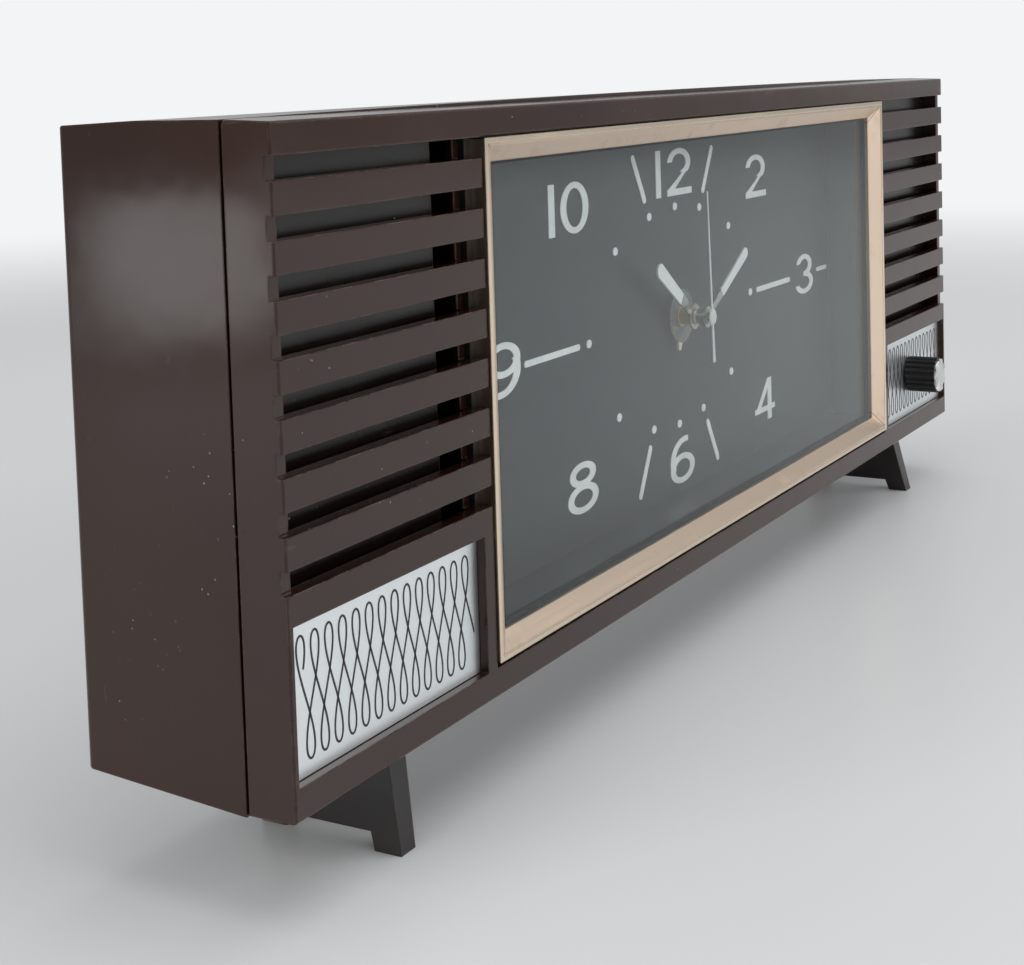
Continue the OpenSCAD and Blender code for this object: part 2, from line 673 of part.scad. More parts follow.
module front_plate() color(brass) {
  difference() {
    movement_plate(plate1_y);
    shaft([0, 0], plate1_y - 1) cylinder(r = centre_r + run_gap, h = plate_t + 2);
  }
  // post of the minute wheel
  shaft(minute_p, plate1_y - 2.9) cylinder(r = 1, h = 2.9 + eps);
  // posts that carry the dial
  for (p = foot_p) shaft(p, dial_y + dial_t) cylinder(r = 1.6, h = plate1_y - dial_y - dial_t + eps);
}

module rear_plate() color(brass) {
  difference() {
    movement_plate(plate2_y);
    shaft([0, 0], plate2_y - 1) cylinder(r = second_r + run_gap, h = plate_t + 2);
  }
  // posts for the clicks
  for (p = [time_click_p, alarm_click_p]) shaft(p, back_y - eps) cylinder(r = 0.8, h = 1.2);
}

module plate_pillars() color(brass) for (p = pillar_p) {
  shaft(p, train_y) cylinder(r = pillar_r, h = plate2_y - train_y);
  shaft(p, plate1_y - 0.9) cylinder(r = 1, h = back_y - plate1_y + 1.8);
}

module plate_nuts() color(steel) for (p = pillar_p) {
  shaft(p, back_y) difference() {
    cylinder(r = 1.9, h = 0.9, $fn = 6);
    translate([0, 0, -1]) cylinder(r = 1, h = 3);
  }
  shaft(p, plate1_y - 0.9) difference() {
    cylinder(r = 1.9, h = 0.9, $fn = 6);
    translate([0, 0, -1]) cylinder(r = 1, h = 3);
  }
}

// ------------------------------------------------------------------ springs
spring_y = train_y + 4.6;
spring_h = plate2_y - spring_y - 4.4;
module mainspring(p, r_out, turns, pillar) color(steel) {
  reach = norm(pillar - p) - pillar_r;
  a = aim(p, pillar);
  shaft(p, spring_y) {
    rotate(-a) linear_extrude(spring_h) spiral_strip(wind_r + free_gap, r_out, turns, 0.35);
    // tail hooked to the pillar
    rotate(-a) translate([r_out, -0.2, 0]) cube([reach - r_out, 0.4, spring_h]);
  }
}
module time_mainspring() mainspring(great_p, 12.5, 6, pillar_p[0]);
module alarm_mainspring() mainspring(alarm_great_p, 10.5, 5, pillar_p[1]);

// ------------------------------------------------------------------ going train
escape_y = plate2_y - 2;
fourth_y = plate2_y - 4;
third_y = plate2_y - 7;
centre_y = train_y + 3.2;
great_y = train_y + 1;
wheel_t = 0.6;

module seconds_arbor() color(steel) {
  shaft([0, 0], second_y - 0.3) cylinder(r = second_r, h = back_y - second_y + 0.2);
  shaft([0, 0], third_y - 0.3) gear(module_third, n_fourth_pinion, wheel_t + 0.6,
    aim([0, 0], third_p) + 180 / n_fourth_pinion, second_r);
}
module fourth_wheel() color(brass) {
  shaft([0, 0], fourth_y) wheel(module_fourth, n_fourth, wheel_t, aim([0, 0], escape_p), second_r);
  shaft([0, 0], fourth_y + wheel_t) ring(1.8, second_r, 0.8);
}
module seconds_hand() color(white) shaft([0, 0], second_y) rotate(second_angle)
  linear_extrude(hand_t / 2) difference() {
    union() {
      circle(r = 1.5);
      polygon([[-0.22, -second_len], [0.22, -second_len], [0.34, 0], [0.55, 9.2], [-0.55, 9.2],
               [-0.34, 0]]);
    }
    circle(r = second_r);
  }

module centre_arbor() color(steel) {
  shaft([0, 0], minute_y + 1) ring(centre_r, second_r + run_gap, third_y - 1.9 - minute_y);
  shaft([0, 0], great_y - 0.3) gear(module_great, n_centre_pinion, 1.6,
    aim([0, 0], great_p) + 180 / n_centre_pinion, centre_r - 0.1);
}
module centre_wheel() color(brass) {
  shaft([0, 0], centre_y) wheel(module_centre, n_centre, wheel_t, aim([0, 0], third_p), centre_r);
  shaft([0, 0], centre_y + wheel_t) ring(2, centre_r, 0.8);
}

module cannon_pinion() color(brass) {
  shaft([0, 0], minute_y) ring(cannon_r, centre_r + run_gap, plate1_y - 0.6 - minute_y);
  shaft([0, 0], plate1_y - 1.6) gear(module_centre, n_cannon, 1, aim([0, 0], minute_p),
    cannon_r - 0.1);
}

// baton hand: a metal root and a broad white blade with a rounded end
module baton(len, w, boss) difference() {
  union() {
    circle(r = boss);
    translate([-w * 0.3, -len * 0.4]) square([w * 0.6, len * 0.4]);
    hull() {
      translate([0, -len * 0.26]) circle(d = w * 0.75, $fn = 24);
      translate([0, -len + w / 2]) circle(d = w, $fn = 24);
    }
  }
  children();
}
module minute_hand() color(white) {
  shaft([0, 0], minute_y) rotate(minute_angle) linear_extrude(hand_t)
    baton(minute_len, 2.3, 2.2) circle(r = cannon_r);
}
module hour_hand() color(white) {
  shaft([0, 0], hour_y) rotate(hour_angle) linear_extrude(hand_t)
    baton(hour_len, 3, 2.6) circle(r = hour_r);
}

module hour_wheel() color(brass) {
  y = plate1_y - 2.6;
  shaft([0, 0], hour_y) ring(hour_r, cannon_r + run_gap, y + wheel_t - hour_y);
  shaft([0, 0], y) linear_extrude(wheel_t) difference() {
    gear_2d(module_hour, n_hour, aim([0, 0], minute_p));
    circle(r = hour_r - 0.1);
  }
}
module minute_wheel() color(brass) {
  shaft(minute_p, plate1_y - 1.4) linear_extrude(wheel_t) difference() {
    gear_2d(module_centre, n_minute, aim(minute_p, [0, 0]) + 180 / n_minute);
    circle(r = 1 + run_gap);
  }
  shaft(minute_p, plate1_y - 2.7) gear(module_hour, n_minute_pinion, 1.35,
    aim(minute_p, [0, 0]) + 180 / n_minute_pinion, 1 + run_gap);
}

module set_arbor() color(steel) {
  shaft(set_p, plate1_y - 1.5) cylinder(r = pivot_r, h = tail_y + 1 - plate1_y + 1.5);
  shaft(set_p, train_y + 0.1) cylinder(r = body_r, h = plate2_y - train_y - 0.2);
  // the minute wheel has a tooth gap here when its count is even
  shaft(set_p, plate1_y - 1.4) gear(module_centre, n_set, wheel_t,
    aim(set_p, minute_p), pivot_r - 0.1);
}
module turn_knob(d, h) difference() {
  union() {
    cylinder(d = d, h = h);
    for (i = [0 : 15]) rotate(i * 22.5) translate([d / 2, 0, 0]) cylinder(d = 0.9, h = h, $fn = 6);
  }
  translate([0, 0, -1]) cylinder(r = pivot_r, h = 2.5);
}
module set_knob() color(silver) shaft(set_p, tail_y) turn_knob(set_d, 5);

module time_great_wheel() color(brass)
  shaft(great_p, great_y) wheel(module_great, n_great, 1, aim(great_p, [0, 0]), wind_r + run_gap);

module third_wheel() color(brass) {
  shaft(third_p, plate1_y) arbor();
  shaft(third_p, third_y) wheel(module_third, n_third, wheel_t, aim(third_p, [0, 0]), body_r - 0.1);
  shaft(third_p, centre_y - 0.3) gear(module_centre, n_third_pinion, wheel_t + 0.6,
    aim(third_p, [0, 0]) + 180 / n_third_pinion, body_r - 0.1);
}

escape_r = 5.2;
module escape_wheel() color(brass) {
  shaft(escape_p, plate1_y) arbor();
  shaft(escape_p, fourth_y - 0.3) gear(module_fourth, n_escape_pinion, wheel_t + 0.6,
    aim(escape_p, [0, 0]) + 180 / n_escape_pinion, body_r - 0.1);
  shaft(escape_p, escape_y) linear_extrude(wheel_t) difference() {
    union() {
      circle(r = escape_r - 1.5);
      for (i = [0 : 14]) rotate(i * 24)
        polygon([polar(escape_r - 1.7, -9), polar(escape_r, 0), polar(escape_r, 2),
                 polar(escape_r - 1.7, 4)]);
    }
    circle(r = body_r - 0.1);
  }
}

// lever with two pins that stand just outside the escape wheel
module pallet_lever() color(steel) {
  back = aim(pallet_p, escape_p);
  front = aim(pallet_p, balance_p);
  shaft(pallet_p, plate1_y) arbor();
  shaft(pallet_p, escape_y) linear_extrude(wheel_t) {
    difference() {
      union() {
        circle(r = 1.15);
        for (s = [-1, 1]) bar_2d([0, 0], polar(3.6, -back + s * 68), 0.9);
        bar_2d([0, 0], polar(6.2, -front), 0.9);
      }
      circle(r = body_r - 0.1);
    }
  }
}

balance_r = 8;
module balance_wheel() color(brass) {
  shaft(balance_p, plate1_y) arbor();
  shaft(balance_p, train_y + 4) linear_extrude(1.2) difference() {
    circle(r = balance_r, $fn = 96);
    for (s = [0, 180]) rotate(s) intersection() {
      circle(r = balance_r - 1.2, $fn = 96);
      translate([-balance_r, 0.9]) square([2 * balance_r, balance_r]);
    }
    circle(r = body_r - 0.1);
  }
  shaft(balance_p, escape_y) ring(1.6, body_r - 0.1, wheel_t);
}
module hairspring() color(steel) {
  shaft(balance_p, train_y + 7) ring(1.4, body_r, 0.8);
  shaft(balance_p, train_y + 7.1) linear_extrude(0.5) spiral_strip(1.35, 4.6, 6, 0.16);
}
module regulator_lever() color(steel) shaft(balance_p, back_y + 0.1) linear_extrude(0.6)
  difference() {
    union() {
      circle(r = 2.4);
      rotate(-100) translate([0, -0.6]) square([10, 1.2]);
    }
    circle(r = pivot_r + 0.5);
  }

// ------------------------------------------------------------------ winding
ratchet_y = back_y + 0.1;
ratchet_r = 5.4;
module winding_arbor(p) color(steel) {
  shaft(p, plate1_y + 0.05) cylinder(r = wind_r, h = tail_y + 2 - plate1_y);
  shaft(p, ratchet_y) linear_extrude(0.9) {
    circle(r = ratchet_r - 0.8);
    for (i = [0 : 17]) rotate(i * 20)
      polygon([polar(ratchet_r - 1, 0), polar(ratchet_r, 2), polar(ratchet_r - 1, 16)]);
  }
}
module time_arbor() winding_arbor(great_p);
module alarm_arbor() winding_arbor(alarm_great_p);

module key(p) color(silver) shaft(p, tail_y) difference() {
  union() {
    cylinder(r = 3, h = 5.5);
    translate([0, 0, 5]) rotate([90, 0, 0]) translate([0, 0, -0.9]) linear_extrude(1.8) {
      for (s = [-1, 1]) translate([s * (key_w / 2 - 3), key_tip - tail_y - 8]) circle(r = 3);
      translate([-key_w / 2 + 3, key_tip - tail_y - 10]) square([key_w - 6, 4]);
      translate([-2.6, -1]) square([5.2, key_tip - tail_y - 6]);
    }
  }
  translate([0, 0, -1]) cylinder(r = wind_r, h = 3.1);
}
module time_key() key(great_p);
module alarm_key() key(alarm_great_p);

// pawl that drops into the ratchet
module click(p, q) color(steel) shaft(p, ratchet_y) linear_extrude(0.9) difference() {
  union() {
    circle(r = 1.6);
    rotate(-aim(p, q) + 52) translate([0, -0.5]) square([4.6, 1]);
  }
  circle(r = 0.8 + run_gap);
}
module time_click() click(time_click_p, great_p);
module alarm_click() click(alarm_click_p, alarm_great_p);

// ------------------------------------------------------------------ alarm
module alarm_great_wheel() color(brass) shaft(alarm_great_p, great_y)
  wheel(module_great, n_alarm_great, 1, aim(alarm_great_p, alarm_escape_p), wind_r + run_gap);

module alarm_escape_wheel() color(brass) {
  shaft(alarm_escape_p, plate1_y) arbor();
  shaft(alarm_escape_p, great_y - 0.3) gear(module_great, n_alarm_pinion, 1.5,
    aim(alarm_escape_p, alarm_great_p) + 180 / n_alarm_pinion, body_r - 0.1);
  shaft(alarm_escape_p, centre_y) linear_extrude(0.8) difference() {
    union() {
      circle(r = 3.2);
      for (i = [0 : 11]) rotate(i * 30)
        polygon([polar(3, -10), polar(4.4, -2), polar(4.4, 2), polar(3, 10)]);
    }
    circle(r = body_r - 0.1);
  }
}

hammer_len = 15;
hammer_y = plate2_y - 4;
module alarm_hammer() color(steel) {
  back = aim(hammer_p, alarm_escape_p);
  shaft(hammer_p, plate1_y) arbor();
  shaft(hammer_p, centre_y) linear_extrude(0.8) difference() {
    union() {
      circle(r = 1.4);
      for (s = [-1, 1]) bar_2d([0, 0], polar(3, -back + s * 78), 0.8);
    }
    circle(r = body_r - 0.1);
  }
  shaft(hammer_p, hammer_y) {
    difference() {
      union() {
        translate([-0.6, -hammer_len, 0]) cube([1.2, hammer_len + 5, 1]);
        cylinder(r = 1.6, h = 1);
      }
      translate([0, 0, -1]) cylinder(r = body_r - 0.1, h = 3);
    }
    translate([0, -hammer_len, -2]) cylinder(r = 2.2, h = 4);
  }
}

module bell() color(steel) shaft(bell_p, hammer_y - 6) difference() {
  cylinder(r = bell_r, h = 9.5);
  translate([0, 0, -1]) cylinder(r = bell_r - 1, h = 9.5);
  cylinder(r = 1.2, h = 20);
}
module bell_post() color(steel) {
  shaft(bell_p, hammer_y + 3.5) cylinder(r = 2.4, h = cover_y - hammer_y - 3.5);
  shaft(bell_p, hammer_y + 1.4) cylinder(r = 1.15, h = cover_y + cover_t - hammer_y - 1.4);
}

module alarm_wheel() color(brass) {
  y = plate1_y - 3.6;
  shaft([0, 0], alarm_y) ring(alarm_r, hour_r + run_gap, y + wheel_t - alarm_y);
  shaft([0, 0], y) linear_extrude(wheel_t) difference() {
    gear_2d(module_great, n_alarm_wheel, aim([0, 0], alarm_set_p));
    circle(r = alarm_r - 0.1);
  }
}
// clear disc with a pale pointer
module alarm_hand() color([0.8, 0.8, 0.75]) shaft([0, 0], alarm_y) rotate(alarm_angle)
  linear_extrude(hand_t) difference() {
    union() {
      circle(r = 5.4);
      polygon([[-2, 0], [2, 0], [0.5, -7], [-0.5, -7]]);
    }
    circle(r = alarm_r);
  }
module alarm_set_arbor() color(steel) {
  y = plate1_y - 3.7;
  shaft(alarm_set_p, y) cylinder(r = pivot_r, h = tail_y + 1 - y);
  shaft(alarm_set_p, train_y + 0.1) cylinder(r = body_r, h = plate2_y - train_y - 0.2);
  shaft(alarm_set_p, y) gear(module_great, n_alarm_set, wheel_t + 0.2,
    aim(alarm_set_p, [0, 0]) + 180 / n_alarm_set, pivot_r - 0.1);
}
module alarm_set_knob() color(silver) shaft(alarm_set_p, tail_y) turn_knob(set_d, 5);

// knob at the front, its shaft and the crank that moves the stop rod
module at_knob(y) place() translate([knob_c[0], y, knob_c[1]]) rotate([-90, 0, 0]) children();
module alarm_knob() color(black) {
  at_knob(-knob_proud + 0.8) cylinder(d = knob_d - 1, h = knob_proud + plate_recess - 1.1);
  for (i = [0 : 17]) at_knob(-knob_proud + 0.8) rotate(i * 20) translate([knob_d / 2 - 0.5, 0, 0])
    cylinder(d = 1, h = knob_proud + plate_recess - 1.1);
  at_knob(plate_recess - 0.4) cylinder(r = 2.5 - run_gap, h = 2.4);
  at_knob(plate_recess + 1.9) cylinder(r = 1.6, h = rod_y - plate_recess - 2.2);
  // crank, pointing up and a little to the right at rest
  at_knob(rod_y - 1.8) rotate(-90 + knob_turn / 2) translate([0, -1, 0]) cube([crank_r, 2, 1.4]);
  at_knob(rod_y - 1.8) rotate(-90 + knob_turn / 2) translate([crank_r, 0, 0]) {
    cylinder(r = 1.4, h = 1.4);
    cylinder(r = pin_r, h = 1.8 + rod_t + 0.4);
  }
}
module alarm_knob_cap() color(silver) at_knob(-knob_proud) difference() {
  cylinder(d = knob_d - 0.6, h = 0.8);
  for (i = [0 : 7]) rotate(i * 45) translate([0, 0, -0.55]) rotate([0, 0, 0])
    translate([1, -0.25, 0]) cube([knob_d, 0.5, 0.8]);
}

// rod that carries the knob's turn to the hammer's tail
rod_z = knob_c[1] + crank_r * cos(knob_turn / 2) - 1.8;
rod_h = 4.2;
pin_x = knob_c[0] + crank_r * sin(knob_turn / 2);
rod_travel = 2 * crank_r * sin(knob_turn / 2);
rod_x0 = hammer_p[0] + 6 + rod_travel;
module stop_rod() color(steel) place() difference() {
  union() {
    box(rod_x0, pin_x + 3, rod_y, rod_y + rod_t, rod_z, rod_z + rod_h);
    box(rod_x0, rod_x0 + 3, rod_y, rod_y + rod_t, rod_z, axis_z + hammer_p[1] - 1.5);
    // finger that stops the hammer's tail when the rod is to the left
    box(hammer_p[0] + 0.6 + free_gap + rod_travel, rod_x0 + 1, rod_y, rod_y + rod_t,
        axis_z + hammer_p[1] - 4.4, axis_z + hammer_p[1] - 2.8);
  }
  // upright slot for the crank's pin
  box(pin_x - pin_r - 0.1, pin_x + pin_r + 0.1, rod_y - 1, rod_y + rod_t + 1,
      rod_z + 0.6, rod_z + rod_h - 0.6);
}

// ------------------------------------------------------------------ drawing
front_shell();
rear_shell();
back_cover();
bezel();
glass();
dial_surround();
dial();
dial_numerals();
grille_panel_left();
grille_panel_right();
trim_plate_left();
trim_plate_right();
leg_left();
leg_right();
leg_screws();
case_screws();
back_screws();
front_plate();
rear_plate();
plate_pillars();
plate_nuts();
time_mainspring();
alarm_mainspring();
bell();
bell_post();
seconds_arbor();
fourth_wheel();
seconds_hand();
centre_arbor();
centre_wheel();
cannon_pinion();
minute_hand();
hour_wheel();
hour_hand();
minute_wheel();
set_arbor();
set_knob();
time_great_wheel();
third_wheel();
escape_wheel();
pallet_lever();
balance_wheel();
hairspring();
time_arbor();
time_key();
time_click();
alarm_arbor();
alarm_key();
alarm_click();
alarm_great_wheel();
alarm_escape_wheel();
alarm_hammer();
alarm_wheel();
alarm_hand();
alarm_set_arbor();
alarm_set_knob();
alarm_knob();
alarm_knob_cap();
stop_rod();
regulator_lever();
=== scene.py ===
import json
import math

import bmesh
import bpy
import numpy as np
from mathutils import Matrix, Vector


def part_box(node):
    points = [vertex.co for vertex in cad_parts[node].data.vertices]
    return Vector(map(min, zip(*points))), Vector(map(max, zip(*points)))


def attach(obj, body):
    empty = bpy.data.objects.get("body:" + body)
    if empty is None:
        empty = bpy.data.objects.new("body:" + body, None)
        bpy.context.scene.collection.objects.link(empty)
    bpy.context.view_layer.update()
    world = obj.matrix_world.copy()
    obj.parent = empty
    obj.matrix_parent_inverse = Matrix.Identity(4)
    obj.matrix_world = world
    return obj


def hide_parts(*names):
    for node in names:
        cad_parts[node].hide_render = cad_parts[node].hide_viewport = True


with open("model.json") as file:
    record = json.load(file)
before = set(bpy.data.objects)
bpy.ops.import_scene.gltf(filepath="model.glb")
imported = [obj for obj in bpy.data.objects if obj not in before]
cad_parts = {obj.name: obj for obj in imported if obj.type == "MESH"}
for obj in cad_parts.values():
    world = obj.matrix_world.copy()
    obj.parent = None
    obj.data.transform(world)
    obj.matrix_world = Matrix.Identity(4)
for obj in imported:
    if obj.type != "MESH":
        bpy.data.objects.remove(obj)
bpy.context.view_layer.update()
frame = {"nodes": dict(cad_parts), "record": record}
mm = 0.001

rimProud = 0.3 * mm                        # the rim stands this far out of the face
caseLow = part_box("front_shell")[0]
frontY = caseLow.y
arborLow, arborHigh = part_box("seconds_arbor")
axisZ = (arborLow.z + arborHigh.z) / 2     # height of the hands' axis, which is at X 0
caseBottom = caseLow.z + rimProud
print("frame loaded:", len(frame["nodes"]), "nodes")


# a value on a shader that adds and multiplies as a number does in the script
class Link:
    def __init__(self, finish, socket):
        self.finish, self.socket = finish, socket

    def maths(self, how, other=None, turned=False):
        pair = (other, self) if turned else (self, other)
        return self.finish.add("ShaderNodeMath", {"operation": how}, *pair)

    def __add__(self, o): return self.maths("ADD", o)
    def __radd__(self, o): return self.maths("ADD", o)
    def __sub__(self, o): return self.maths("SUBTRACT", o)
    def __rsub__(self, o): return self.maths("SUBTRACT", o, True)
    def __mul__(self, o): return self.maths("MULTIPLY", o)
    def __rmul__(self, o): return self.maths("MULTIPLY", o)
    def __truediv__(self, o): return self.maths("DIVIDE", o)
    def __pow__(self, o): return self.maths("POWER", o)
    def size(self): return self.maths("ABSOLUTE")
    def least(self, o): return self.maths("MINIMUM", o)

    def ramp(self, low, high):             # 0 below low, 1 above high, smooth between
        settings = {"interpolation_type": "SMOOTHSTEP"}
        return self.finish.add("ShaderNodeMapRange", settings, self, low, high, 0.0, 1.0)


class Finish:
    def __init__(self, name):
        self.material = bpy.data.materials.new(name)
        self.material.use_nodes = True
        self.tree = self.material.node_tree
        self.tree.nodes.clear()
        self.output = self.tree.nodes.new("ShaderNodeOutputMaterial")

    def put(self, socket, value):
        if isinstance(value, Link):
            self.tree.links.new(value.socket, socket)
        elif value is not None:
            socket.default_value = value

    def add(self, kind, settings=None, *values, out=0, **named):
        node = self.tree.nodes.new(kind)
        for key, value in (settings or {}).items():
            setattr(node, key, value)
        for socket, value in zip(node.inputs, values):
            self.put(socket, value)
        for key, value in named.items():
            self.put(node.inputs[key.replace("_", " ")], value)
        return Link(self, node.outputs[out])

    def place(self, scale=(1, 1, 1), turn=(0, 0, 0)):
        spot = self.add("ShaderNodeTexCoord", out=3)
        return self.add("ShaderNodeMapping", None, spot, (0, 0, 0), turn, scale)

    def axes(self):
        spot = self.add("ShaderNodeTexCoord", out=3)
        node = self.add("ShaderNodeSeparateXYZ", None, spot).socket.node
        return [Link(self, s) for s in node.outputs]

    def noise(self, scale, detail=3.0, rough=0.5, where=None):
        where = where or self.place()
        return self.add("ShaderNodeTexNoise", None, Vector=where, Scale=scale, Detail=detail,
                        Roughness=rough)

    def specks(self, scale, low, high, where=None):     # small separate dots, 1 inside each
        where = where or self.place()
        cells = self.add("ShaderNodeTexVoronoi", None, Vector=where, Scale=scale)
        return 1 - cells.ramp(low, high)

    def mix(self, mask, low, high):        # colours: low where the mask is 0, high where it is 1
        node = self.tree.nodes.new("ShaderNodeMix")
        node.data_type = "RGBA"
        for i, value in ((0, mask), (6, low), (7, high)):
            if isinstance(value, tuple):
                value = (*value, 1.0)
            self.put(node.inputs[i], value)
        return Link(self, node.outputs[2])

    def softEdge(self, radius):
        return self.add("ShaderNodeBevel", {"samples": 4}, radius)

    def wear(self, radius):                # 1 along outside edges, 0 on flats
        soft = self.softEdge(radius)
        flat = self.add("ShaderNodeNewGeometry", out=1)
        dot = self.add("ShaderNodeVectorMath", {"operation": "DOT_PRODUCT"}, soft, flat, out=1)
        return 1 - dot

    def surface(self, **named):
        shader = self.add("ShaderNodeBsdfPrincipled", None, **named)
        self.tree.links.new(shader.socket, self.output.inputs[0])
        return self.material

    def bump(self, height, distance, strength=1.0, normal=None):
        return self.add("ShaderNodeBump", None, strength, distance, Height=height, Normal=normal)


plasticLook = {
    "brown": (0.0225, 0.0072, 0.0042), "warm": (0.036, 0.0125, 0.0075), "worn": (0.17, 0.105, 0.08),
    "dust": (0.32, 0.28, 0.25), "rippleScale": 70.0, "rippleHeight": 0.10 * mm, "edge": 0.35 * mm,
}


def glossyPlastic(name, look=plasticLook, gloss=0.09, dusty=1.0):
    f = Finish(name)
    spots = f.noise(38.0, 5.0, 0.6)
    wide = f.noise(9.0, 2.0)
    dust = f.specks(520.0, 0.06, 0.10) * f.noise(60.0, 2.0).ramp(0.52, 0.70) * dusty
    scuffs = f.noise(900.0, 2.0, 0.5, f.place((0.06, 1.0, 0.35), (0.3, 0.2, 0.5))).ramp(0.72, 0.76)
    edge = (f.wear(look["edge"]) * f.noise(210.0, 4.0, 0.7).ramp(0.44, 0.70) * 9).least(1.0)
    colour = f.mix(wide.ramp(0.35, 0.7), look["brown"], look["warm"])
    colour = f.mix(edge * 0.55, colour, look["worn"])
    colour = f.mix((dust * 0.75 + scuffs * 0.05).least(0.8), colour, look["dust"])
    rough = gloss + spots.ramp(0.35, 0.75) * 0.07 + dust * 0.4 + edge * 0.25
    ripple = f.noise(look["rippleScale"], 2.0, 0.4) + f.noise(700.0, 2.0) * 0.012
    normal = f.bump(ripple, look["rippleHeight"], 0.9, f.softEdge(look["edge"]))
    return f.surface(Base_Color=colour, Roughness=rough, Normal=normal, IOR=1.46)


def mattPlastic(name, colour, rough=0.5, grain=0.03 * mm):
    f = Finish(name)
    patch = f.noise(24.0, 4.0)
    shade = f.mix(patch.ramp(0.3, 0.75), colour, tuple(c * 1.5 + 0.004 for c in colour))
    shade = f.mix(f.specks(420.0, 0.05, 0.09) * 0.35, shade, (0.3, 0.28, 0.26))
    normal = f.bump(f.noise(1500.0, 3.0), grain, 0.8, f.softEdge(0.3 * mm))
    return f.surface(Base_Color=shade, Roughness=rough + patch * 0.12, Normal=normal)


def plainMetal(name, colour, rough=0.3, stretch=(1, 1, 1), tint=0.65, tarnish=0.25):
    f = Finish(name)
    grain = f.noise(2600.0, 2.0, 0.5, f.place(stretch))
    stain = f.noise(70.0, 5.0, 0.6).ramp(0.45, 0.8)
    dull = tuple(c * tint for c in colour)
    shade = f.mix(stain * tarnish + grain * 0.12, colour, dull)
    normal = f.bump(grain, 0.012 * mm, 0.7, f.softEdge(0.15 * mm))
    return f.surface(Base_Color=shade, Metallic=1.0, Roughness=rough + stain * 0.14 + grain * 0.08,
                     Normal=normal)


bezelLook = {"metal": (0.70, 0.56, 0.44), "dull": (0.36, 0.25, 0.17), "mitre": (0.10, 0.07, 0.05)}


def bezelMetal(name):
    f = Finish(name)
    x, y, z = f.axes()
    low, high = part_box("bezel")
    fromSide = x.size() * -1 + high.x
    fromTop = (z - (low.z + high.z) / 2).size() * -1 + (high.z - low.z) / 2
    onSide = 1 - (fromSide - fromTop).ramp(-0.01 * mm, 0.01 * mm)
    mitre = 1 - (fromSide - fromTop).size().ramp(0.05 * mm, 0.16 * mm)
    along = f.noise(1400.0, 2.0, 0.5, f.place((0.03, 1, 1)))
    up = f.noise(1400.0, 2.0, 0.5, f.place((1, 1, 0.03)))
    grain = along * (1 - onSide) + up * onSide
    stain = f.noise(130.0, 5.0, 0.65).ramp(0.55, 0.78)
    corner = (1 - (fromSide + fromTop).ramp(3 * mm, 16 * mm)) * f.noise(300.0, 4.0).ramp(0.4, 0.7)
    shade = f.mix((stain * 0.35 + corner * 0.35 + grain * 0.1).least(1.0), bezelLook["metal"],
                  bezelLook["dull"])
    shade = f.mix(mitre * 0.8, shade, bezelLook["mitre"])
    normal = f.bump(grain - mitre * 2, 0.02 * mm, 0.8, f.softEdge(0.2 * mm))
    return f.surface(Base_Color=shade, Metallic=1.0, Normal=normal,
                     Roughness=0.27 + stain * 0.2 + grain * 0.08)


def paint(name, colour, rough=0.35, fleck=0.1, edge=0.08 * mm):
    f = Finish(name)
    patch = f.noise(220.0, 4.0)
    darker = tuple(c * 0.86 for c in colour)
    shade = f.mix(patch.ramp(0.35, 0.75), colour, darker)
    shade = f.mix(f.specks(700.0, 0.04, 0.08) * fleck, shade, (0.5, 0.5, 0.5))
    normal = f.bump(f.noise(900.0, 2.0), 0.002 * mm, 0.4, f.softEdge(edge) if edge else None)
    return f.surface(Base_Color=shade, Roughness=rough + patch * 0.1, Normal=normal)


def handPaint(name, rootEnd):
    f = Finish(name)                       # bright metal root, white blade from rootEnd outwards
    x, y, z = f.axes()
    reach = (x * x + (z - axisZ) * (z - axisZ)) ** 0.5
    white = reach.ramp(rootEnd - 0.1 * mm, rootEnd + 0.1 * mm)
    patch = f.noise(300.0, 3.0)
    shade = f.mix(white, (0.55, 0.52, 0.47), (0.86, 0.86, 0.84))
    shade = f.mix(patch.ramp(0.5, 0.9) * 0.15, shade, (0.5, 0.5, 0.48))
    normal = f.bump(patch, 0.01 * mm, 0.5, f.softEdge(0.12 * mm))
    return f.surface(Base_Color=shade, Metallic=1 - white, Roughness=0.25 + white * 0.2,
                     Normal=normal)


def clearGlass(name):
    f = Finish(name)                       # clear in the middle, mirror-like at a low angle
    smear = f.noise(26.0, 4.0, 0.6, f.place((1, 1, 0.4)))
    dust = f.specks(380.0, 0.03, 0.05) * f.noise(50.0, 2.0).ramp(0.5, 0.7)
    shine = f.add("ShaderNodeLayerWeight", None, 0.5, out=1) ** 5 * 0.96 + 0.04
    clear = f.add("ShaderNodeBsdfTransparent", None, (0.93, 0.95, 0.95, 1))
    gloss = f.add("ShaderNodeBsdfPrincipled", None, Base_Color=(0.9, 0.92, 0.92, 1), Metallic=1.0,
                  Roughness=0.015 + smear.ramp(0.5, 0.9) * 0.05)
    both = f.add("ShaderNodeMixShader", None, (shine + dust * 0.2).least(1.0), clear, gloss)
    f.tree.links.new(both.socket, f.output.inputs[0])
    return f.material


def clearDisc(name):
    f = Finish(name)
    x, y, z = f.axes()
    reach = (x * x + (z - axisZ) * (z - axisZ)) ** 0.5
    rings = (reach * 9000.0).maths("SINE")
    cream = reach.ramp(5.3 * mm, 5.5 * mm)
    shade = f.mix(cream, (0.30, 0.30, 0.27), (0.80, 0.74, 0.58))
    normal = f.bump(rings, 0.01 * mm, 0.6)
    return f.surface(Base_Color=shade, Roughness=0.22 + cream * 0.2, Normal=normal,
                     Alpha=0.42 + cream * 0.58)


